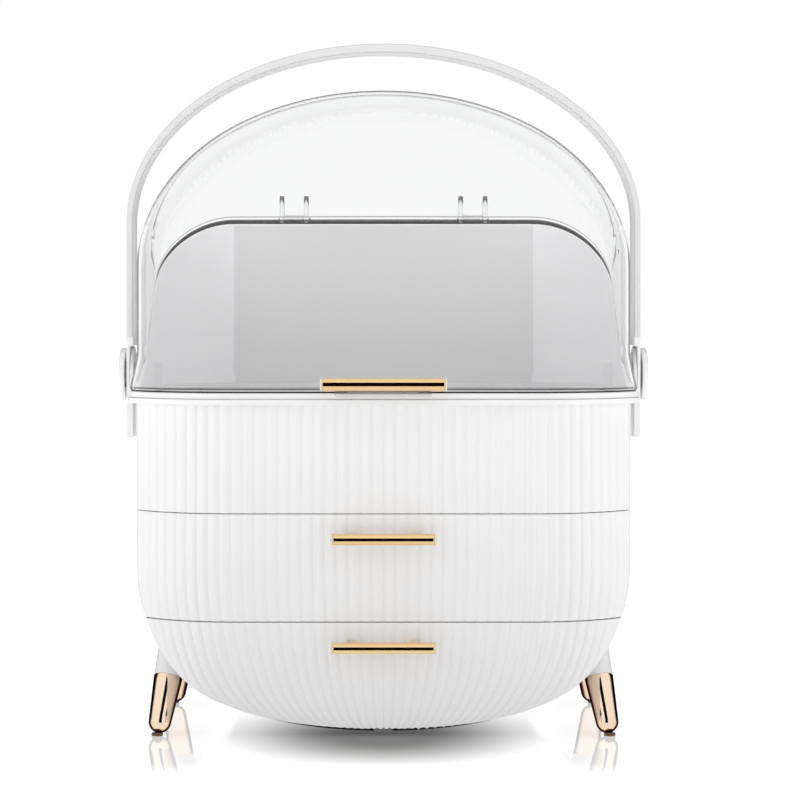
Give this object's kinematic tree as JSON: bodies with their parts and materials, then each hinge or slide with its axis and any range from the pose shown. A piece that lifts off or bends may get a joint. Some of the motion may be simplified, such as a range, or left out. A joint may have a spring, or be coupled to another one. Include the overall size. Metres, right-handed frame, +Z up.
{
  "type": "makeup organizer",
  "caption": "Desktop makeup organizer: reeded egg-shaped body on splayed legs, stacked drawers, clear hinged dust hood and an arched carrying handle that folds down.",
  "frame": {"origin": "middle of the overall footprint, on the surface that the four foot pads stand on", "axes": "+Z up; -Y the front, with the drawers and the hood's tab; +X the organizer's right seen from its front"},
  "size_m": [0.3084, 0.211, 0.3942],
  "materials": {
    "white_plastic": "satin moulded white",
    "white_gloss_plastic": "gloss moulded white",
    "inner_plastic": "matt moulded white",
    "clear_plastic": "clear polished",
    "gold_metal": "polished gold",
    "pull_cap_plastic": "pale gloss",
    "rose_gold_plating": "rose gold plating on plastic",
    "steel": "plain steel",
    "rubber": "matt grey"
  },
  "bodies": {
    "root": {"body_shell": "white_plastic", "drawer_shelf": "white_plastic", "top_rim": "white_plastic", "rear_shell": "white_plastic", "hinge_pins": "steel", "upper_drawer_rails": "inner_plastic", "lower_drawer_rails": "inner_plastic", "side_bracket_left": "white_plastic", "side_bracket_right": "white_plastic", "bracket_screws": "steel", "leg_front_left": "white_gloss_plastic", "leg_front_right": "white_gloss_plastic", "leg_rear_left": "white_gloss_plastic", "leg_rear_right": "white_gloss_plastic", "leg_cap_front_left": "rose_gold_plating", "leg_cap_front_right": "rose_gold_plating", "leg_cap_rear_left": "rose_gold_plating", "leg_cap_rear_right": "rose_gold_plating", "foot_pads": "rubber", "leg_screws": "steel"},
    "hood": {"hood": "clear_plastic", "hood_pull_bar": "gold_metal", "hood_pull_end_caps": "pull_cap_plastic", "hood_pull_posts": "gold_metal", "hood_pull_screws": "steel"},
    "upper_drawer": {"upper_drawer_front": "white_plastic", "upper_drawer_box": "inner_plastic", "upper_front_screws": "steel", "upper_pull_bar": "gold_metal", "upper_pull_end_caps": "pull_cap_plastic", "upper_pull_posts": "gold_metal", "upper_pull_screws": "steel"},
    "lower_drawer": {"lower_drawer_front": "white_plastic", "lower_drawer_box": "inner_plastic", "lower_front_screws": "steel", "lower_pull_bar": "gold_metal", "lower_pull_end_caps": "pull_cap_plastic", "lower_pull_posts": "gold_metal", "lower_pull_screws": "steel"},
    "handle": {"handle": "white_plastic", "pivot_cap_left": "white_gloss_plastic", "pivot_cap_right": "white_gloss_plastic", "pivot_clips": "steel"}
  },
  "joints": [
    {"name": "hood_hinge", "type": "hinge", "parent": "root", "child": "hood", "pos_m": [0, 0.1013, 0.293], "axis": [-1, 0, 0], "range_deg": [0, 11]},
    {"name": "handle_pivot", "type": "hinge", "parent": "root", "child": "handle", "pos_m": [0, 0.0057, 0.202], "axis": [-1, 0, 0], "range_deg": [-90, 90]},
    {"name": "upper_drawer_slide", "type": "slide", "parent": "root", "child": "upper_drawer", "axis": [0, -1, 0], "range_m": [0, 0.105]},
    {"name": "lower_drawer_slide", "type": "slide", "parent": "root", "child": "lower_drawer", "axis": [0, -1, 0], "range_m": [0, 0.105]}
  ]
}
